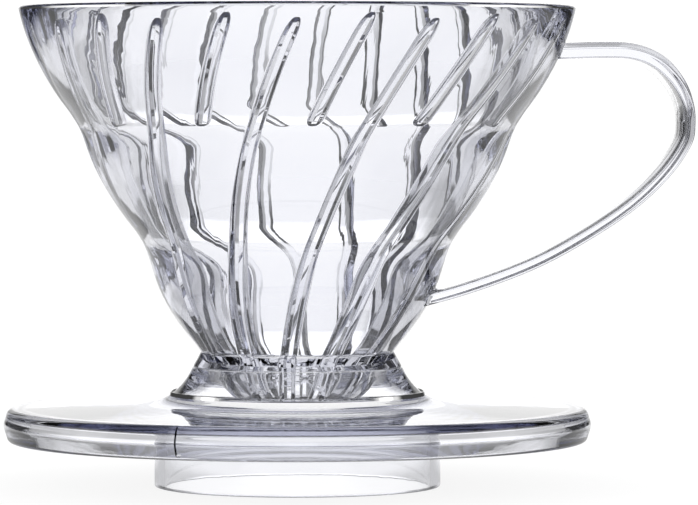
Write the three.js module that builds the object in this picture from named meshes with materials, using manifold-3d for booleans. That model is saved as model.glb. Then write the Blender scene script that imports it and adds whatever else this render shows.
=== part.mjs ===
// A one-cup cone coffee dripper moulded in clear plastic: a ribbed cone with a loop handle stands on a
// round base plate, whose underside has a locating collar that drops into the mouth of a cup.
// Millimetres, +Z up. The origin is under the middle of the overall width, at the foot of the collar,
// and the handle points to +X. Features that run into each other on the moulding keep a small gap here.
import * as THREE from 'three';
import { mergeVertices } from 'three/addons/utils/BufferGeometryUtils.js';
import Module from 'manifold-3d';

const wasm = await Module();
wasm.setup();

// ---- Driving dimensions -------------------------------------------------------------------------
const HEIGHT = 81.5; // collar foot to the top of the rim
const PLATE_RADIUS = 50;
const HANDLE_REACH = 67.5; // from the cone's axis to the outside of the handle
const GAP = 0.3; // between neighbouring features

// Cone: three barrel-shaped tiers outside, a straight wall inside, and a conical band for a neck
const LIP_HEIGHT = 1.6;
const LIP_FOOT = HEIGHT - LIP_HEIGHT;
const RIM_RADIUS = 47.3;
const MOUTH_RADIUS = 45.4; // inside of the rim
const WALL_SLOPE = Math.tan(rad(28.3)); // radius gained per height inside the cone
const NECK_TOP = { radius: 16.4, height: 22.9 };
const NECK_FOOT = { radius: 17.8, height: 20.3 };
// Points up the outside of each tier, as [height, radius]
const LOWER_TIER = [
  [NECK_TOP.height + GAP, 16.6],
  [25, 18],
  [27, 19.6],
  [29, 21],
  [31.5, 22.5],
  [34, 23.7],
  [36.5, 24.5],
  [39, 25.3],
];
const MIDDLE_TIER = [
  [41, 26.1],
  [42.7, 27.1],
  [44.6, 28.5],
  [46.5, 29.9],
  [49, 31.6],
  [52, 33.3],
  [55, 34.75],
  [57.5, 35.7],
  [59.3, 36.3],
];
const UPPER_TIER = [
  [61, 37.1],
  [62.5, 37.95],
  [64.6, 39.4],
  [66.5, 40.8],
  [69, 42.4],
  [72, 44],
  [75, 45.3],
  [77.5, 46.25],
  [LIP_FOOT - GAP, 46.9],
];

// Ribs: their crests lie on a 60 degree cone, which a folded paper filter rests on
const FILTER_SLOPE = Math.tan(rad(30));
const CREST_MOUTH_RADIUS = 44.4;
const RIBS_OF_EACH_LENGTH = 12;
const RIB_WIDTH = 1.9;
const RIB_TWIST = rad(0.64); // per millimetre of height
const LONG_RIB = { top: 79.2, foot: 15.2, phase: rad(-2.6), stations: 10 };
const SHORT_RIB = { top: 80, foot: 61.9, phase: rad(12.4), stations: 4 };
const RIB_END_WIDTH = 0.35; // of the full width, at the very end
const RIB_SHOULDER = 0.55; // of the rib's height that its crest loses at the sides

// Outlet under the neck
const OUTLET_HEIGHT = 15; // above the collar foot
const OUTLET_RADIUS = 8.4;
const OUTLET_WALL = 1.8;

// Base: trumpet skirt, plate, down-turned rim and collar
const SKIRT_FOOT_RADIUS = 27.6;
const SKIRT_WALL = 1.9;
const SKIRT_SWEEP = 1.8; // how far its side bows in from a straight cone
const HOLLOW_BOW = 0.35; // how far the hollow under it does
const PLATE_TOP = 14;
const PLATE_FALL = 0.6; // from the skirt to the rim
const PLATE_UNDERSIDE = 11.6;
const RIM_INNER_RADIUS = 46.6;
const RIM_FOOT = 7.8;
const COLLAR_OUTER_RADIUS = 24.3;
const COLLAR_INNER_RADIUS = 22.5;

// Handle: a thin, wide strap bent into a loop beside the cone
const STRAP_WIDTH = 14;
const STRAP_EDGE = 1.46; // its thickness at both edges
const STRAP_CROWN = 0.57; // how far its outer face stands out in the middle

// Facets
const WIDE_STEPS = 72;
const NARROW_STEPS = 48;

// ---- Values that follow ----------------------------------------------------------------------------
const AXIS_X = (PLATE_RADIUS - HANDLE_REACH) / 2; // the cone's axis, off the middle by half the handle

function rad(degrees) {
  return (degrees * Math.PI) / 180;
}

function at(radius, height) {
  return new THREE.Vector2(radius, height);
}

// Radius of the smooth wall inside the cone, down through the neck to the outlet
function wallRadius(height) {
  if (height >= NECK_TOP.height) {
    return MOUTH_RADIUS - (HEIGHT - height) * WALL_SLOPE;
  }
  const neckRadius = MOUTH_RADIUS - (HEIGHT - NECK_TOP.height) * WALL_SLOPE;
  const share = (height - OUTLET_HEIGHT) / (NECK_TOP.height - OUTLET_HEIGHT);
  return OUTLET_RADIUS + share * (neckRadius - OUTLET_RADIUS);
}

function crestRadius(height) {
  return CREST_MOUTH_RADIUS - (HEIGHT - height) * FILTER_SLOPE;
}

// Points of a shallow arc, without its last one, that stands out to the right of the way it runs
function arc(from, to, rise, steps) {
  const run = to.clone().sub(from);
  const outwards = at(run.y, -run.x).normalize();
  const middle = from.clone().lerp(to, 0.5).addScaledVector(outwards, 2 * rise);
  return new THREE.QuadraticBezierCurve(from, middle, to).getPoints(steps).slice(0, -1);
}

// A solid of revolution about Z. The section runs up its outside and down its inside.
function revolve(section, steps) {
  const geometry = new THREE.LatheGeometry([...section, section[0].clone()], steps);
  geometry.rotateX(Math.PI / 2);
  return geometry;
}

// ---- Cone ---------------------------------------------------------------------------------------
function outerWall(offset) {
  const side = [...LOWER_TIER, ...MIDDLE_TIER, ...UPPER_TIER];
  return side.map(([height, radius]) => at(radius + offset, height));
}

function coneWall() {
  const top = LIP_FOOT - GAP;
  const foot = NECK_TOP.height + GAP;
  return revolve([...outerWall(0), at(wallRadius(top), top), at(wallRadius(foot), foot)], WIDE_STEPS);
}

function rimLip() {
  const round = 0.6;
  const section = [
    at(RIM_RADIUS - GAP, LIP_FOOT),
    at(RIM_RADIUS, LIP_FOOT + round),
    at(RIM_RADIUS, HEIGHT - round),
    at(RIM_RADIUS - 0.3 * round, HEIGHT - 0.3 * round),
    at(RIM_RADIUS - round, HEIGHT),
    at(MOUTH_RADIUS + 0.5 * round, HEIGHT),
    at(MOUTH_RADIUS, HEIGHT - 0.5 * round),
    at(wallRadius(LIP_FOOT), LIP_FOOT),
  ];
  return revolve(section, WIDE_STEPS);
}

function neckRing() {
  const section = [
    at(NECK_FOOT.radius, NECK_FOOT.height),
    at(NECK_TOP.radius, NECK_TOP.height),
    at(wallRadius(NECK_TOP.height), NECK_TOP.height),
    at(wallRadius(NECK_FOOT.height), NECK_FOOT.height),
  ];
  return revolve(section, NARROW_STEPS);
}

function outletSpout() {
  const top = NECK_FOOT.height - GAP;
  const round = 0.3;
  const section = [
    at(OUTLET_RADIUS + OUTLET_WALL - round, OUTLET_HEIGHT),
    at(OUTLET_RADIUS + OUTLET_WALL, OUTLET_HEIGHT + round),
    at(wallRadius(top) + OUTLET_WALL, top),
    at(wallRadius(top), top),
    at(OUTLET_RADIUS, OUTLET_HEIGHT),
  ];
  return revolve(section, NARROW_STEPS);
}

// ---- Ribs ---------------------------------------------------------------------------------------
// Heights at which a rib has a cross section: close together in its rounded ends, even between them
function ribHeights(kind) {
  const round = RIB_WIDTH / 2;
  const heights = [kind.foot, kind.foot + 0.3 * round];
  for (let i = 0; i <= kind.stations; i += 1) {
    const share = i / kind.stations;
    heights.push(kind.foot + round + share * (kind.top - kind.foot - 2 * round));
  }
  heights.push(kind.top - 0.3 * round, kind.top);
  return heights;
}

// How much of its full width and height a rib has at a height, as its ends round off
function ribFullness(kind, height) {
  const round = RIB_WIDTH / 2;
  const fromEnd = Math.min(height - kind.foot, kind.top - height);
  const inset = 1 - Math.min(fromEnd / round, 1);
  return RIB_END_WIDTH + (1 - RIB_END_WIDTH) * Math.sqrt(1 - inset * inset);
}

// One rib, wound up the inside of the cone. turn is where its top stands, round from the -Y side.
function rib(kind, turn) {
  const heights = ribHeights(kind);
  const geometry = new THREE.BoxGeometry(1, 1, 1, 3, 1, heights.length - 1);
  const corners = geometry.attributes.position;
  for (let i = 0; i < corners.count; i += 1) {
    const across = 2 * corners.getX(i); // -1 to 1
    const inwards = corners.getY(i) + 0.5; // 0 on the wall, 1 on the crest
    const height = heights[Math.round((corners.getZ(i) + 0.5) * (heights.length - 1))];
    const fullness = ribFullness(kind, height);
    const root = wallRadius(height) - GAP;
    const crown = (1 - RIB_SHOULDER * across * across) * fullness;
    const radius = root - inwards * crown * (root - crestRadius(height));
    const aside = (across * fullness * RIB_WIDTH) / 2;
    const angle = turn - RIB_TWIST * (kind.top - height);
    const x = radius * Math.sin(angle) + aside * Math.cos(angle);
    const y = -radius * Math.cos(angle) + aside * Math.sin(angle);
    corners.setXYZ(i, x, y, height);
  }
  geometry.computeVertexNormals();
  return geometry;
}

// ---- Base ---------------------------------------------------------------------------------------
function baseSkirt() {
  const top = NECK_FOOT.height - GAP;
  const foot = at(SKIRT_FOOT_RADIUS, PLATE_TOP);
  const neckSide = at(NECK_FOOT.radius, top);
  const hollowTop = at(NECK_FOOT.radius - SKIRT_WALL, top);
  const hollowFoot = at(COLLAR_INNER_RADIUS - 0.9, PLATE_TOP + 1);
  const ledge = at(COLLAR_INNER_RADIUS, PLATE_TOP + 0.2);
  const section = [
    at(COLLAR_INNER_RADIUS, PLATE_UNDERSIDE + GAP),
    at(SKIRT_FOOT_RADIUS, PLATE_UNDERSIDE + GAP),
    ...arc(foot, neckSide, -SKIRT_SWEEP, 6),
    neckSide,
    ...arc(hollowTop, hollowFoot, HOLLOW_BOW, 4),
    hollowFoot,
    ledge,
  ];
  return revolve(section, NARROW_STEPS);
}

function basePlate() {
  const inner = SKIRT_FOOT_RADIUS + GAP;
  const outer = RIM_INNER_RADIUS - GAP;
  const section = [
    at(outer, PLATE_UNDERSIDE),
    at(outer, PLATE_TOP - PLATE_FALL),
    at(inner, PLATE_TOP),
    at(inner, PLATE_UNDERSIDE),
  ];
  return revolve(section, WIDE_STEPS);
}

function baseRim() {
  const shoulder = at(PLATE_RADIUS - 2.4, PLATE_TOP - PLATE_FALL);
  const widest = at(PLATE_RADIUS, PLATE_TOP - 3.4);
  const heel = at(PLATE_RADIUS - 0.3, RIM_FOOT + 0.9);
  const section = [
    at(PLATE_RADIUS - 1.4, RIM_FOOT),
    heel,
    ...arc(widest, shoulder, 0.75, 4),
    shoulder,
    at(RIM_INNER_RADIUS, PLATE_TOP - PLATE_FALL),
    at(RIM_INNER_RADIUS, RIM_FOOT + 0.5),
    at(RIM_INNER_RADIUS + 0.5, RIM_FOOT),
  ];
  return revolve(section, WIDE_STEPS);
}

function locatingCollar() {
  const top = PLATE_UNDERSIDE;
  const round = 0.3;
  const section = [
    at(COLLAR_OUTER_RADIUS - round, 0),
    at(COLLAR_OUTER_RADIUS, round),
    at(COLLAR_OUTER_RADIUS, top),
    at(COLLAR_INNER_RADIUS, top),
    at(COLLAR_INNER_RADIUS, round),
    at(COLLAR_INNER_RADIUS + round, 0),
  ];
  return revolve(section, NARROW_STEPS);
}

// ---- Handle -------------------------------------------------------------------------------------
// The middle of the strap's edges, from inside the upper wall round to inside the lower wall
function strapPath() {
  const reach = HANDLE_REACH - STRAP_CROWN - STRAP_EDGE / 2;
  const points = [
    [41, 73.3],
    [51, 73.6],
    [56.5, 73.35],
    [60.6, 71.75],
    [63.9, 68.6],
    [65.8, 65],
    [reach, 61.4],
    [65.5, 58.1],
    [61.9, 53],
    [56, 47.55],
    [47.5, 42],
    [39, 37.6],
    [28, 33.6],
    [17, 30.6],
  ];
  return new THREE.CatmullRomCurve3(points.map(([x, z]) => new THREE.Vector3(x, 0, z)));
}

// The strap's section, with its width along the first axis and its inner face towards the second
function strapSection() {
  const side = STRAP_WIDTH / 2;
  const inner = STRAP_EDGE / 2;
  const section = new THREE.Shape();
  section.moveTo(side, inner);
  section.lineTo(-side, inner);
  section.lineTo(-side, -inner);
  section.quadraticCurveTo(0, -inner - 2 * STRAP_CROWN, side, -inner);
  section.closePath();
  return section;
}

function toSolid(geometry) {
  const bare = geometry.clone();
  bare.deleteAttribute('normal');
  bare.deleteAttribute('uv');
  const merged = mergeVertices(bare, 1e-4);
  const vertProperties = new Float32Array(merged.attributes.position.array);
  const triVerts = new Uint32Array(merged.index.array);
  return new wasm.Manifold(new wasm.Mesh({ numProp: 3, vertProperties, triVerts }));
}

function toGeometry(solid) {
  const mesh = solid.getMesh();
  const geometry = new THREE.BufferGeometry();
  geometry.setAttribute('position', new THREE.BufferAttribute(mesh.vertProperties, 3));
  geometry.setIndex(new THREE.BufferAttribute(mesh.triVerts, 1));
  geometry.computeVertexNormals();
  return geometry;
}

// The strap with both of its ends trimmed to the outside of the cone
function handle() {
  const strap = new THREE.ExtrudeGeometry(strapSection(), {
    steps: 40,
    curveSegments: 6,
    extrudePath: strapPath(),
  });
  const wall = outerWall(GAP);
  const axisTop = at(0, LIP_FOOT - GAP);
  const axisFoot = at(0, NECK_TOP.height + GAP);
  const cone = revolve([...wall, axisTop, axisFoot], WIDE_STEPS);
  return toGeometry(toSolid(strap).subtract(toSolid(cone)));
}

// ---- Assembly -----------------------------------------------------------------------------------
function clearPlastic(color) {
  return new THREE.MeshStandardMaterial({
    color,
    roughness: 0.08,
    metalness: 0,
    transparent: true,
    opacity: 0.35,
  });
}

const WALL_TINT = 0xe6edf4;
const RIB_TINT = 0xd5dbe6;
const BASE_TINT = 0xe2e9f1;

const dripper = new THREE.Group();
dripper.position.set(AXIS_X, 0, 0);

function add(name, geometry, tint) {
  const mesh = new THREE.Mesh(geometry, clearPlastic(tint));
  mesh.name = name;
  dripper.add(mesh);
}

function addRibs(name, kind) {
  for (let i = 0; i < RIBS_OF_EACH_LENGTH; i += 1) {
    const turn = kind.phase + (i * 2 * Math.PI) / RIBS_OF_EACH_LENGTH;
    const number = String(i + 1).padStart(2, '0');
    add(`${name}_${number}`, rib(kind, turn), RIB_TINT);
  }
}

add('cone_wall', coneWall(), WALL_TINT);
add('rim_lip', rimLip(), WALL_TINT);
addRibs('long_rib', LONG_RIB);
addRibs('short_rib', SHORT_RIB);
add('neck_ring', neckRing(), WALL_TINT);
add('outlet_spout', outletSpout(), WALL_TINT);
add('base_skirt', baseSkirt(), BASE_TINT);
add('base_plate', basePlate(), BASE_TINT);
add('base_rim', baseRim(), BASE_TINT);
add('locating_collar', locatingCollar(), BASE_TINT);
add('handle', handle(), WALL_TINT);

export default dripper;
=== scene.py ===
"""A clear plastic cone coffee dripper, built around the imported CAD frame.

Three clear mouldings stand for the CAD nodes: the ribbed cone with its neck and outlet, the base with its
locating collar, and the loop handle. Outlines are written in millimetres as (radius, height) on the cone's
axis and turned into metres in the frame's own axes at the end.
"""

import math

import bpy
import numpy as np
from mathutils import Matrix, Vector


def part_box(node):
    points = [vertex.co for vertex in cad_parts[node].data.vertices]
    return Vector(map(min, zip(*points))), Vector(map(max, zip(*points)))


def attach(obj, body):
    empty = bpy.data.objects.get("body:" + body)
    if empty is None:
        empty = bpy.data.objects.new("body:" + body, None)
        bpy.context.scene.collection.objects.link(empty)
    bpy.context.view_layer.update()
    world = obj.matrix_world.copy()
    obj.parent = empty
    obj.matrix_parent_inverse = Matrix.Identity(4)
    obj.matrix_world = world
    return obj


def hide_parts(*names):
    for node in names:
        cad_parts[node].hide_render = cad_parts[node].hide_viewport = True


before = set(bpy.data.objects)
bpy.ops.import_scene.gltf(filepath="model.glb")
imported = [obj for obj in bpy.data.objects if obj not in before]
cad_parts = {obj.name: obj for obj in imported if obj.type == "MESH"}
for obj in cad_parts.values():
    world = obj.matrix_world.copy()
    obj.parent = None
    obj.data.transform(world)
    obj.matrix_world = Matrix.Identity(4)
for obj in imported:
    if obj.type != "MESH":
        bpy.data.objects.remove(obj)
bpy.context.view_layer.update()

MM = 0.001


def measure(node):
    """Radius, lowest and highest point of a round CAD node, in millimetres."""
    low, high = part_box(node)
    return (high.y - low.y) / 2 / MM, low.z / MM, high.z / MM


# ---- Sizes from the frame -------------------------------------------------------------------------
RIM_R, _, TOP = measure("rim_lip")
PLATE_R, EDGE_FOOT, EDGE_TOP = measure("base_rim")
COLLAR_R, _, PLATE_UNDER = measure("locating_collar")
BAND_R, BAND_Z, NECK_Z = measure("neck_ring")
SPOUT_FOOT = measure("outlet_spout")[1]
LONG_TOP = measure("long_rib_01")[2]
SHORT_FOOT, SHORT_TOP = measure("short_rib_01")[1:]
AXIS_X = (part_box("rim_lip")[0].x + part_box("rim_lip")[1].x) / 2

# ---- Sizes of the mouldings' own detail -----------------------------------------------------------
# how steeply the outside of the cone widens with height, (height, radius gained per height): three barrel
# shaped tiers that turn into each other over short bands near heights 62 and 42
SIDE_SLOPES = (
    (22.9, 0.74), (25.2, 0.84), (28, 0.70), (31, 0.55), (33, 0.45), (35, 0.35), (36.5, 0.30), (38, 0.29),
    (39.3, 0.34), (40.5, 0.435), (41.5, 0.53), (42.3, 0.64), (42.9, 0.70), (43.8, 0.755), (44.6, 0.80),
    (45.5, 0.745), (47, 0.69), (50, 0.60), (53, 0.50), (56, 0.388), (58, 0.328), (59.5, 0.368),
    (60.3, 0.442), (61, 0.522), (61.8, 0.612), (62.8, 0.672), (63.8, 0.722), (64.6, 0.76), (66, 0.692),
    (68, 0.615), (71, 0.525), (74, 0.437), (77, 0.34), (79.5, 0.26), (81.5, 0.205),
)
MOUTH_R = 45.4
WALL_SLOPE = math.tan(math.radians(28.3))
CREST_MOUTH_R = 44.4
FILTER_SLOPE = math.tan(math.radians(30))
OUTLET_R = 8.4
SPOUT_R = 10.2
CEILING_R = 13.5  # where the spout leaves the solid neck
JOINT = 0.02  # gap between mouldings

SKIRT_FOOT = (27.6, 14.1)  # where the skirt runs out into the plate
EDGE_BELLY = 10.6  # height at which the plate's edge is widest
COLLAR_WALL = 1.8
GATE = math.radians(-25.4)  # where the mould's gate was on the edge of the plate
GATE_HALF = math.radians(0.4)
GATE_SIDE = math.radians(0.2)
GATE_DEPTH = 0.35
GATE_FOOT = 8.8

RIBS = 24
RIB_TWIST = math.radians(0.64)
FIRST_RIB = math.radians(-2.6)
CREST_FLAT = 0.42  # half of a rib's flat crest
CREST_HALF = 0.98  # half of its width below the slopes on both sides of the crest
CREST_DROP = 0.34  # height of those slopes
DRAFT = math.tan(math.radians(5))
ROOT_ROUND = 0.15
FOOT_LENGTH = 1.3
TIP_LENGTH = 3.2

STRAP_HALF = 7.0  # half of the handle strap's width
STRAP_EDGE = 0.89  # half of its thickness
STRAP_ROUND = 0.34
STRAP_CROWN = (6.2, 5.8, 5.5, 5.2, 4.8, 4.2)  # where its outer face bends, aside from its middle
# the middle of the strap, (distance from the cone's axis, height)
STRAP_RUN = (
    (41, 73.3), (51, 73.6), (56.5, 73.35), (60.6, 71.75), (63.9, 68.6), (65.8, 65), (66.2, 61.4),
    (65.5, 58.1), (61.9, 53), (56, 47.55), (47.5, 42), (39, 37.6), (28, 33.6), (17, 30.6),
)

SHARP = math.radians(40)  # faces that meet at more than this show an edge

# ---- Look of the plastic --------------------------------------------------------------------------
TINTS = ((0.975, 0.978, 0.988, 1), (0.992, 0.992, 0.994, 1))  # between which its surface drifts
DEEP_TINT = (0.74, 0.75, 0.82, 1)  # and what is left of white light in its depth
DENSITY = 100  # how much light it takes up, per metre
STRAP_DENSITY = 45

# ---- Studio, in metres and shares of a direction --------------------------------------------------
TURN = math.radians(3.2)  # how far round to the -X side the camera is from straight along +Y
EYE = (-0.0447, -0.7992, 0.067)
TARGET = (0, -0.0005, 0.0397)
LENS = 243
BOUNCES = 32  # light passes many walls
FLOOR_HALF = 3.0
# each of these ramps is (from, to, amount at from, amount at to)
SEEN_WALL = 1.05  # what the camera sees straight on
# the floor's glow as the camera sees it, dimmer near the dripper: a painted contact shadow
SEEN_FLOOR_PAINTED_SHADE = (0.020, 0.085, 0.90, 1.04)
DIM = 0.05  # light where there is no panel
PANEL_CORE = (0.09, 0.17, 0.62, 0)  # across a panel
PANEL_EDGE = (0.22, 0.36, 0.50, 0)
PANEL_FRONT = (-0.6, -0.3, 0.6, 1)  # from the front panel to the others
WALL_FOOT = (0.105, 0.125, 1.06, 1.4)  # by height
WALL_TOP = (0.25, 0.5, 1, 0)
PAINTED_STRIPE_START = 0.045  # the painted stripes of light along the panels' directions on the floor start this far from the axis
# how bright those painted stripes of light are
PAINTED_STRIPE_GAIN = 1.1
PAINTED_LIGHT_POOL = (0.40, 0.60, 0.95, DIM)  # a painted pool of light on the floor round the dripper; from here on by distance from the axis
# painted shadow on the floor, round the collar and under the plate
PAINTED_SHADE_UNDER_COLLAR = (0.021, 0.025, 0.86, 0)
PAINTED_SHADE_UNDER_PLATE = (0.05, 0.13, 0.84, 1)
# painted shade on the floor at both sides of the dripper
PAINTED_SIDE_SHADE_START = (0.022, 0.03, 1, 0)
PAINTED_SIDE_SHADE_END = (0.07, 0.13, 0, 1)
PAINTED_SIDE_SHADE = (0.4, 0.8, 1, 0.6)  # from straight behind to straight beside the dripper


# ---- Outlines -------------------------------------------------------------------------------------
def bow(start, end, rise, steps):
    """Points of a shallow arc from start to end, which stands out to the right of its run by rise."""
    start, end = np.array(start, float), np.array(end, float)
    run = end - start
    side = np.array([run[1], -run[0]]) / np.hypot(*run)
    middle = (start + end) / 2 + 2 * rise * side
    t = np.linspace(0, 1, steps + 1)[:, None]
    return (1 - t) ** 2 * start + 2 * t * (1 - t) * middle + t ** 2 * end


def outline(corners, steps=5, support=0.15):
    """An outline through corners (x, y, round radius), with each rounded corner as an arc.
    Long straight stretches get a point near each end, so that the rounding's shading stays in it."""
    at = np.array([c[:2] for c in corners], float)
    made = []
    for i, (x, y, radius) in enumerate(corners):
        if radius == 0:
            made.append([at[i]])
            continue
        back = at[i - 1] - at[i]
        ahead = at[(i + 1) % len(at)] - at[i]
        back /= np.hypot(*back)
        ahead /= np.hypot(*ahead)
        half = math.acos(np.clip(back @ ahead, -1, 1)) / 2
        reach = radius / math.tan(half)
        middle = (back + ahead) / np.hypot(*(back + ahead))
        centre = at[i] + middle * radius / math.sin(half)
        first = at[i] + back * reach - centre
        last = at[i] + ahead * reach - centre
        turn = math.atan2(first[0] * last[1] - first[1] * last[0], first @ last)
        arc = []
        for k in range(steps + 1):
            a = turn * k / steps
            arc.append(centre + [first[0] * math.cos(a) - first[1] * math.sin(a),
                                 first[0] * math.sin(a) + first[1] * math.cos(a)])
        made.append(arc)
    points = []
    for i, arc in enumerate(made):
        points.extend(arc)
        ahead = made[(i + 1) % len(made)][0]
        gap = ahead - arc[-1]
        length = np.hypot(*gap)
        if length > 4 * support and corners[i][2] > 0 and corners[(i + 1) % len(made)][2] > 0:
            points.append(arc[-1] + gap * support / length)
            points.append(ahead - gap * support / length)
    return np.array(points)


def soft(points):
    """Points of a curve as corners with no rounding."""
    return [(x, y, 0.0) for x, y in points]


def cone_side(step=0.4):
    """Corners up the outside of the cone from the neck to just under the rim."""
    heights, slopes = np.array(SIDE_SLOPES, float).T
    z = np.linspace(NECK_Z, TOP, int((TOP - NECK_Z) / step) + 1)
    slope = np.interp(z, heights, slopes)
    widening = (slope[1:] + slope[:-1]) / 2 * np.diff(z)
    radius = RIM_R - np.append(np.cumsum(widening[::-1])[::-1], 0)
    points = np.stack([radius, z], -1)
    return [(*points[0], 0.5)] + soft(points[1:-1])


def wall_radius(z):
    """Radius of the smooth wall inside the cone, down through the neck to the outlet."""
    z = np.asarray(z, float)
    neck = MOUTH_R - (TOP - NECK_Z) * WALL_SLOPE
    share = (z - SPOUT_FOOT) / (NECK_Z - SPOUT_FOOT)
    return np.where(z > NECK_Z, MOUTH_R - (TOP - z) * WALL_SLOPE, OUTLET_R + share * (neck - OUTLET_R))


def crest_radius(z):
    """Radius of the ribs' crests, which a paper filter lies on."""
    return CREST_MOUTH_R - (TOP - np.asarray(z, float)) * FILTER_SLOPE


# ---- Meshes ---------------------------------------------------------------------------------------
def new_piece(name, points, faces):
    """A smooth mesh object in the scene."""
    mesh = bpy.data.meshes.new(name)
    mesh.from_pydata([tuple(p) for p in points], [], faces)
    mesh.validate()
    piece = bpy.data.objects.new(name, mesh)
    bpy.context.scene.collection.objects.link(piece)
    mesh.shade_smooth()
    mesh.set_sharp_from_angle(angle=SHARP)
    return piece


def place(radius, angle, z):
    """Row frame coordinates in metres. Angle 0 is the -Y side and grows towards +X."""
    return np.stack([AXIS_X + radius * np.sin(angle) * MM, -radius * np.cos(angle) * MM, z * MM], -1)


def grid_faces(rows, columns):
    """Quads of a grid that closes on itself both ways."""
    faces = []
    for i in range(rows):
        this, above = i * columns, (i + 1) % rows * columns
        for j in range(columns):
            k = (j + 1) % columns
            faces.append((this + j, this + k, above + k, above + j))
    return faces


def revolve(name, section, columns=288, extra=(), moved=None):
    """A ring of one section, with even columns and those at the extra angles.
    moved(angle, radius, z) says how far inward the points of one row go."""
    angle = np.unique(np.append(np.linspace(-math.pi, math.pi, columns, endpoint=False), extra))
    count = len(angle)
    rows = []
    for r, z in section:
        radius = np.full(count, r)
        if moved:
            radius -= moved(angle, r, z)
        rows.append(place(radius, angle, np.full(count, z)))
    return new_piece(name, np.concatenate(rows), grid_faces(len(section), count))


# ---- Cone with ribs -------------------------------------------------------------------------------
def end_share(z, foot, top):
    """How far into a rib's rounded end each height is: 0 along the rib, 1 at its tip and beyond."""
    return np.clip(max((z - (top - TIP_LENGTH)) / TIP_LENGTH, (foot + FOOT_LENGTH - z) / FOOT_LENGTH), 0, 1)


def rib_section(height):
    """Half of a rib's cross section, from the middle of its crest to the wall, as (aside, height)."""
    shoulder = height - CREST_DROP
    root = CREST_HALF + shoulder * DRAFT
    corners = [(0, height, 0), (CREST_FLAT, height, 0.25), (CREST_HALF, shoulder, 0.12),
               (root, 0, ROOT_ROUND), (root + 1, 0, 0)]
    made = outline([(-1, height, 0)] + corners, steps=4, support=0.0)
    return made[1:-1]


def rib_row(z):
    """Angles and depths of all columns round the inside of the cone at one height."""
    wall = float(wall_radius(z))
    depth = wall - float(crest_radius(z))
    low = np.clip((SHORT_FOOT - z) / (SHORT_FOOT - SPOUT_FOOT), 0, 1)
    share = math.radians(7.5 + 4.5 * low * low * (3 - 2 * low))
    slant = math.atan(wall * RIB_TWIST * math.cos(math.radians(28)))
    angles, depths = [], []
    section = rib_section(depth)
    for i in range(RIBS):
        is_long = i % 2 == 0
        foot, top = (SPOUT_FOOT - 2 * FOOT_LENGTH, LONG_TOP) if is_long else (SHORT_FOOT, SHORT_TOP)
        e = float(end_share(z, foot, top))
        full = math.sqrt(1 - e * e)
        half = share if is_long else math.radians(15) - share
        aside = section[:, 0] / math.cos(slant) * (0.2 + 0.8 * full) / wall
        widest = aside[-1] + 0.15 / wall
        if widest > 0.85 * half:
            aside = aside * 0.85 * half / widest
            widest = 0.85 * half
        rise = section[:, 1] * full
        between = np.linspace(widest, half, 5)[:-1] if is_long else np.linspace(widest, half, 5)
        right = np.concatenate([aside, between])
        right_rise = np.concatenate([rise, np.zeros(len(between))])
        left = -right[1:][::-1]
        left_rise = right_rise[1:][::-1]
        middle = FIRST_RIB + i * 2 * math.pi / RIBS + RIB_TWIST * (z - LONG_TOP)
        angles.append(middle + np.concatenate([left, right]))
        depths.append(np.concatenate([left_rise, right_rise]))
    return np.concatenate(angles), np.concatenate(depths), wall


def rib_heights():
    """Heights of the rows down the inside of the cone: close where ribs end, even elsewhere."""
    ease = np.sin(np.linspace(0, math.pi / 2, 10))
    heights = [np.arange(SPOUT_FOOT, SHORT_FOOT - 0.3, 0.8), SHORT_FOOT + FOOT_LENGTH * (1 - ease),
               np.arange(SHORT_FOOT + FOOT_LENGTH + 0.6, LONG_TOP - TIP_LENGTH - 0.4, 0.8),
               LONG_TOP - TIP_LENGTH * (1 - ease), SHORT_TOP - TIP_LENGTH * (1 - ease)]
    return np.unique(np.round(np.concatenate(heights), 2))[::-1]


def build_cone():
    """The cone with its ribs, rim, neck and outlet."""
    corners = [(SPOUT_R, SPOUT_FOOT, 0.5), (CEILING_R, BAND_Z, 0.3), (BAND_R, BAND_Z, 0.15)]
    corners += cone_side() + [(RIM_R, TOP, 0.6), (MOUTH_R, TOP, 0.5)]
    inner_start = TOP - 1.1
    corners += [(float(wall_radius(inner_start)), inner_start, 0)]
    plain = outline(corners + [(OUTLET_R, SPOUT_FOOT, 0)])
    heights = rib_heights()
    first_angles = rib_row(heights[0])[0]
    # the plain outline up to the point where the ribbed rows start
    stop = int(np.argmin(np.hypot(plain[:, 0] - corners[-1][0], plain[:, 1] - corners[-1][1])))
    rows = [place(np.full(len(first_angles), r), first_angles, np.full(len(first_angles), z))
            for r, z in plain[:stop + 1]]
    for z in heights:
        angles, depths, wall = rib_row(z)
        rows.append(place(wall - depths, angles, np.full(len(angles), z)))
    return new_piece("ribbed_cone", np.concatenate(rows), grid_faces(len(rows), len(first_angles)))


# ---- Base -----------------------------------------------------------------------------------------
def gate_scar(angle, radius, z):
    """How far inward points of the plate's edge go, for the small scar that the mould's gate leaves there."""
    if radius < PLATE_R - 1.3 or z < GATE_FOOT:
        return 0
    return np.interp(abs(angle - GATE), (GATE_HALF, GATE_HALF + GATE_SIDE), (GATE_DEPTH, 0))


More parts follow.
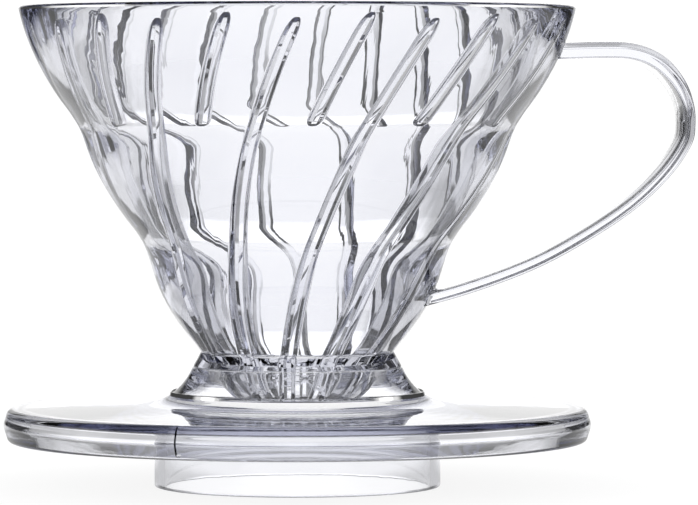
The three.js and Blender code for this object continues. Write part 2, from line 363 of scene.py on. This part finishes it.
def build_base():
    """The hollow skirt, the plate with its down-turned edge, and the locating collar."""
    collar_in = COLLAR_R - COLLAR_WALL
    skirt_top = (BAND_R, BAND_Z - JOINT)
    hollow_top = (BAND_R - 1.9, BAND_Z - JOINT)
    hollow_foot = (21.15, 15.2)
    skirt = bow(SKIRT_FOOT, skirt_top, -1.9, 14)
    hollow = bow(hollow_top, hollow_foot, 0.35, 8)
    # the scar's foot on the straight lower half of the edge
    scar_foot = [(PLATE_R - 0.9 * (EDGE_BELLY - z) / (EDGE_BELLY - EDGE_FOOT), z)
                 for z in (GATE_FOOT - 0.4, GATE_FOOT)]
    corners = [
        (COLLAR_R, 0, 0.35), (COLLAR_R, PLATE_UNDER, 0.3),
        (PLATE_R - 3.4, PLATE_UNDER, 0.4), (PLATE_R - 3.0, EDGE_FOOT, 0.4),
        (PLATE_R - 0.9, EDGE_FOOT, 0.8), *soft(scar_foot),
        (PLATE_R, EDGE_BELLY, 2.2), (PLATE_R - 0.9, EDGE_TOP, 1.4), (*SKIRT_FOOT, 0.5),
        *soft(skirt[1:-1]), (*skirt_top, 0.12), (*hollow_top, 0.12), *soft(hollow[1:-1]), (*hollow_foot, 0.05),
        # the groove round the foot of the hollow
        (21.55, 16.5, 0.1), (21.95, 14.9, 0.05),
        (collar_in, 14.2, 0.3), (collar_in, 0, 0.35),
    ]
    across = GATE + np.array([-1, -0.5, 0, 0.5, 1]) * GATE_HALF
    beside = GATE + np.array([-1, 1]) * (GATE_HALF + GATE_SIDE)
    return revolve("base_with_collar", outline(corners), extra=np.append(across, beside), moved=gate_scar)


# ---- Handle ---------------------------------------------------------------------------------------
def spline(points, steps):
    """Smooth curve through points, with steps spans between neighbours."""
    pts = [2 * points[0] - points[1]] + list(points) + [2 * points[-1] - points[-2]]
    out = []
    for a, b, c, d in zip(pts, pts[1:], pts[2:], pts[3:]):
        for k in range(steps):
            t = k / steps
            out.append(0.5 * (2 * b + (c - a) * t + (2 * a - 5 * b + 4 * c - d) * t * t
                              + (3 * b - a - 3 * c + d) * t ** 3))
    return np.array(out + [points[-1]])


def strap_section():
    """Outline across the strap, as (aside, outward)."""
    outer = [(y, STRAP_EDGE, 0) for y in (*STRAP_CROWN, *(-y for y in reversed(STRAP_CROWN)))]
    inner = [(y, -STRAP_EDGE, 0) for y in (-6.2, -5.5, -4.5, -3, -1.5, 0, 1.5, 3, 4.5, 5.5, 6.2)]
    return outline([
        (-STRAP_HALF, -STRAP_EDGE, STRAP_ROUND), *inner, (STRAP_HALF, -STRAP_EDGE, STRAP_ROUND),
        (STRAP_HALF, STRAP_EDGE, STRAP_ROUND), *outer, (-STRAP_HALF, STRAP_EDGE, STRAP_ROUND),
    ])


def tube_faces(rows, columns):
    """Quads of a tube of rows, closed at both ends."""
    faces = []
    for i in range(rows - 1):
        this, ahead = i * columns, (i + 1) * columns
        for j in range(columns):
            k = (j + 1) % columns
            faces.append((this + j, this + k, ahead + k, ahead + j))
    last = (rows - 1) * columns
    return faces + [tuple(range(columns))[::-1], tuple(range(last, last + columns))]


def trim_to_cone(strap):
    """Cut both ends of the strap to the outside of the cone."""
    wall = outline([(2, NECK_Z, 0)] + cone_side() + [(RIM_R, TOP, 0), (2, TOP, 0)]) + [JOINT, 0]
    cutter = revolve("handle_cutter", wall, 360)
    cut = strap.modifiers.new("ends", "BOOLEAN")
    cut.operation = "DIFFERENCE"
    cut.solver = "EXACT"
    cut.object = cutter
    bpy.context.view_layer.update()
    result = strap.evaluated_get(bpy.context.evaluated_depsgraph_get())
    mesh = bpy.data.meshes.new_from_object(result)
    strap.modifiers.clear()
    strap.data = mesh
    bpy.data.objects.remove(cutter)
    mesh.set_sharp_from_angle(angle=SHARP)


def build_handle():
    """The strap of the handle, bent into a loop from the rim's side to the foot of the cone."""
    middle = spline([np.array(p, float) for p in STRAP_RUN], 12)
    along = np.gradient(middle, axis=0)
    along /= np.linalg.norm(along, axis=1)[:, None]
    out = np.stack([-along[:, 1], along[:, 0]], -1)
    section = strap_section()
    points = []
    for (x, z), (nx, nz) in zip(middle, out):
        # along the top of the loop the strap is thicker, with a sloping shoulder at both edges
        thicker = np.interp(z, (62, 71), (0, 0.95))
        # and down from there its inner face swells in the middle
        swell = np.interp(z, (63, 72), (0.5, 0.1))
        for y, rise in section:
            share = (rise / STRAP_EDGE + 1) / 2
            rise += thicker * np.interp(abs(y), (4.2, 5.2, 5.8, 7), (1, 0.93, 0.7, 0)) * share
            rise -= swell * (1 - (y / STRAP_HALF) ** 2) * (1 - share)
            points.append((AXIS_X + (x + nx * rise) * MM, y * MM, (z + nz * rise) * MM))
    strap = new_piece("loop_handle", points, tube_faces(len(middle), len(section)))
    trim_to_cone(strap)
    return strap


# ---- Node helpers ---------------------------------------------------------------------------------
def noise(tree, spot, scale, detail):
    """Soft noise over a surface; scale is in waves per metre."""
    node = tree.nodes.new("ShaderNodeTexNoise")
    node.inputs["Scale"].default_value = scale
    node.inputs["Detail"].default_value = detail
    tree.links.new(spot, node.inputs["Vector"])
    return node.outputs["Fac"]


def ramp(tree, value, low, high, at_low, at_high):
    """A node that eases from one amount to another while value goes from low to high."""
    node = tree.nodes.new("ShaderNodeMapRange")
    node.interpolation_type = "SMOOTHSTEP"
    for socket, amount in (("From Min", low), ("From Max", high), ("To Min", at_low), ("To Max", at_high)):
        node.inputs[socket].default_value = amount
    tree.links.new(value, node.inputs["Value"])
    return node.outputs[0]


def combine(tree, kind, first, second=0.0):
    """A maths node of first and second, each a number or another node's output."""
    node = tree.nodes.new("ShaderNodeMath")
    node.operation = kind
    for socket, source in zip(node.inputs, (first, second)):
        if isinstance(source, float):
            socket.default_value = source
        else:
            tree.links.new(source, socket)
    return node.outputs[0]


# ---- Material of the dripper ----------------------------------------------------------------------
def clear_plastic(name, density):
    """Clear plastic with a trace of tint, grain and unevenness; density sets how much light it takes up."""
    material = bpy.data.materials.new(name)
    material.use_nodes = True
    tree = material.node_tree
    nodes, links = tree.nodes, tree.links
    shader = nodes["Principled BSDF"]
    shader.inputs["Transmission Weight"].default_value = 1.0
    shader.inputs["IOR"].default_value = 1.57
    spot = nodes.new("ShaderNodeTexCoord").outputs["Object"]
    tint = nodes.new("ShaderNodeMix")
    tint.data_type = "RGBA"
    links.new(noise(tree, spot, 70, 3), tint.inputs["Factor"])
    tint.inputs["A"].default_value, tint.inputs["B"].default_value = TINTS
    links.new(tint.outputs["Result"], shader.inputs["Base Color"])
    links.new(ramp(tree, noise(tree, spot, 900, 2), 0.45, 0.75, 0.0, 0.03), shader.inputs["Roughness"])
    bump = nodes.new("ShaderNodeBump")
    bump.inputs["Strength"].default_value = 0.12
    bump.inputs["Distance"].default_value = 0.0001
    links.new(noise(tree, spot, 260, 1), bump.inputs["Height"])
    links.new(bump.outputs["Normal"], shader.inputs["Normal"])
    absorb = nodes.new("ShaderNodeVolumeAbsorption")
    absorb.inputs["Color"].default_value = DEEP_TINT
    absorb.inputs["Density"].default_value = density
    links.new(absorb.outputs["Volume"], nodes["Material Output"].inputs["Volume"])
    return material


# ---- Studio ---------------------------------------------------------------------------------------
def unless_seen(tree, plain, light):
    """Plain where the camera looks straight at it, light for everything that shines through the dripper."""
    seen = tree.nodes.new("ShaderNodeLightPath").outputs["Is Camera Ray"]
    return combine(tree, "ADD", combine(tree, "MULTIPLY", seen, plain),
                   combine(tree, "MULTIPLY", combine(tree, "SUBTRACT", 1.0, seen), light))


def level_parts(tree, direction):
    """The parts of a direction, turned round with the camera: its two level ones and its height."""
    turned = tree.nodes.new("ShaderNodeVectorRotate")
    turned.rotation_type = "Z_AXIS"
    turned.inputs["Angle"].default_value = TURN
    tree.links.new(direction, turned.inputs["Vector"])
    split = tree.nodes.new("ShaderNodeSeparateXYZ")
    tree.links.new(turned.outputs[0], split.inputs[0])
    return split.outputs["X"], split.outputs["Y"], split.outputs["Z"]


def panels(tree, x, y):
    """Light of four soft panels, by the two level parts of a direction: the front one, -Y, is dimmer."""
    aside = combine(tree, "MINIMUM", combine(tree, "ABSOLUTE", x), combine(tree, "ABSOLUTE", y))
    light = combine(tree, "ADD", ramp(tree, aside, *PANEL_CORE), ramp(tree, aside, *PANEL_EDGE))
    return combine(tree, "MULTIPLY", light, ramp(tree, y, *PANEL_FRONT))


def backdrop():
    """Soft white panels with dim corners between them, which give clear plastic its dark outlines."""
    world = bpy.data.worlds.new("studio")
    bpy.context.scene.world = world
    world.use_nodes = True
    tree = world.node_tree
    x, y, z = level_parts(tree, tree.nodes.new("ShaderNodeTexCoord").outputs["Generated"])
    light = combine(tree, "MULTIPLY", panels(tree, x, y), ramp(tree, z, *WALL_FOOT))
    light = combine(tree, "MULTIPLY", light, ramp(tree, z, *WALL_TOP))
    light = combine(tree, "ADD", light, DIM)
    back = tree.nodes["Background"]
    back.inputs["Color"].default_value = (1, 1, 1, 1)
    tree.links.new(unless_seen(tree, SEEN_WALL, light), back.inputs["Strength"])


def painted_floor_light(tree, spot, away):
    """Painted light and shade of the floor for what shines through the dripper, by the place and its distance
    from the axis: stripes of light along the panels, a pool of light round the dripper, and painted shadow
    under the plate, around the collar and at its sides.
    """
    parts = level_parts(tree, spot)[:2]
    level = []
    for part in parts:
        past = combine(tree, "SUBTRACT", combine(tree, "ABSOLUTE", part), PAINTED_STRIPE_START)
        past = combine(tree, "MAXIMUM", past, 0.0)
        past = combine(tree, "MULTIPLY", past, combine(tree, "SIGN", part))
        level.append(combine(tree, "DIVIDE", past, away))
    light = combine(tree, "MULTIPLY", panels(tree, *level), PAINTED_STRIPE_GAIN)
    light = combine(tree, "MAXIMUM", light, ramp(tree, away, *PAINTED_LIGHT_POOL))
    # painted soft shadow under the plate, around the collar, and deeper at both sides of the dripper
    shade = combine(tree, "MAXIMUM", ramp(tree, away, *PAINTED_SHADE_UNDER_COLLAR), ramp(tree, away, *PAINTED_SHADE_UNDER_PLATE))
    side = ramp(tree, combine(tree, "DIVIDE", combine(tree, "ABSOLUTE", parts[0]), away), *PAINTED_SIDE_SHADE)
    side = combine(tree, "MAXIMUM", side, ramp(tree, away, *PAINTED_SIDE_SHADE_END))
    side = combine(tree, "MAXIMUM", side, ramp(tree, away, *PAINTED_SIDE_SHADE_START))
    return combine(tree, "MULTIPLY", combine(tree, "MULTIPLY", light, shade), side)


def floor():
    """A pale table top that glows rather than being lit: to the camera evenly, but for a painted contact
    shadow near the dripper; for what shines through the dripper, painted light most around the dripper and
    along the panels' directions, with painted shade under and beside it.
    """
    mesh = bpy.data.meshes.new("floor")
    corners = [(x * FLOOR_HALF, y * FLOOR_HALF, 0) for x, y in ((-1, -1), (1, -1), (1, 1), (-1, 1))]
    mesh.from_pydata(corners, [], [(0, 1, 2, 3)])
    table = bpy.data.objects.new("floor", mesh)
    table.location.x = AXIS_X
    bpy.context.scene.collection.objects.link(table)
    material = bpy.data.materials.new("floor_with_painted_light")
    material.use_nodes = True
    tree = material.node_tree
    shader = tree.nodes["Principled BSDF"]
    shader.inputs["Base Color"].default_value = (0.1, 0.1, 0.1, 1)
    shader.inputs["Roughness"].default_value = 1
    shader.inputs["Specular IOR Level"].default_value = 0
    spot = tree.nodes.new("ShaderNodeTexCoord").outputs["Object"]
    length = tree.nodes.new("ShaderNodeVectorMath")
    length.operation = "LENGTH"
    tree.links.new(spot, length.inputs[0])
    away = length.outputs["Value"]
    # the floor's glow holds all its painted light and shade
    strength = unless_seen(tree, ramp(tree, away, *SEEN_FLOOR_PAINTED_SHADE), painted_floor_light(tree, spot, away))
    shader.inputs["Emission Color"].default_value = (1, 1, 1, 1)
    tree.links.new(strength, shader.inputs["Emission Strength"])
    mesh.materials.append(material)


def camera():
    """A long lens at the front, a little above the plate."""
    data = bpy.data.cameras.new("camera")
    data.sensor_width = 36
    data.lens = LENS
    eye = bpy.data.objects.new("camera", data)
    bpy.context.scene.collection.objects.link(eye)
    eye.location = EYE
    eye.rotation_euler = (Vector(TARGET) - eye.location).to_track_quat("-Z", "Y").to_euler()
    bpy.context.scene.camera = eye


# ---- The scene ------------------------------------------------------------------------------------
plastic = clear_plastic("clear_plastic", DENSITY)
strap_plastic = clear_plastic("clear_plastic_strap", STRAP_DENSITY)
ribs = [f"{kind}_rib_{i:02d}" for kind in ("long", "short") for i in range(1, RIBS // 2 + 1)]
for piece, material, nodes in (
    (build_cone(), plastic, ["cone_wall", "rim_lip", "neck_ring", "outlet_spout", *ribs]),
    (build_base(), plastic, ["base_skirt", "base_plate", "base_rim", "locating_collar"]),
    (build_handle(), strap_plastic, ["handle"]),
):
    piece.data.materials.clear()
    piece.data.materials.append(material)
    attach(piece, "root")
    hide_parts(*nodes)

backdrop()
floor()
camera()

scene = bpy.context.scene
scene.view_settings.view_transform = "Standard"
scene.cycles.max_bounces = BOUNCES
scene.cycles.transmission_bounces = BOUNCES
scene.cycles.glossy_bounces = BOUNCES // 2
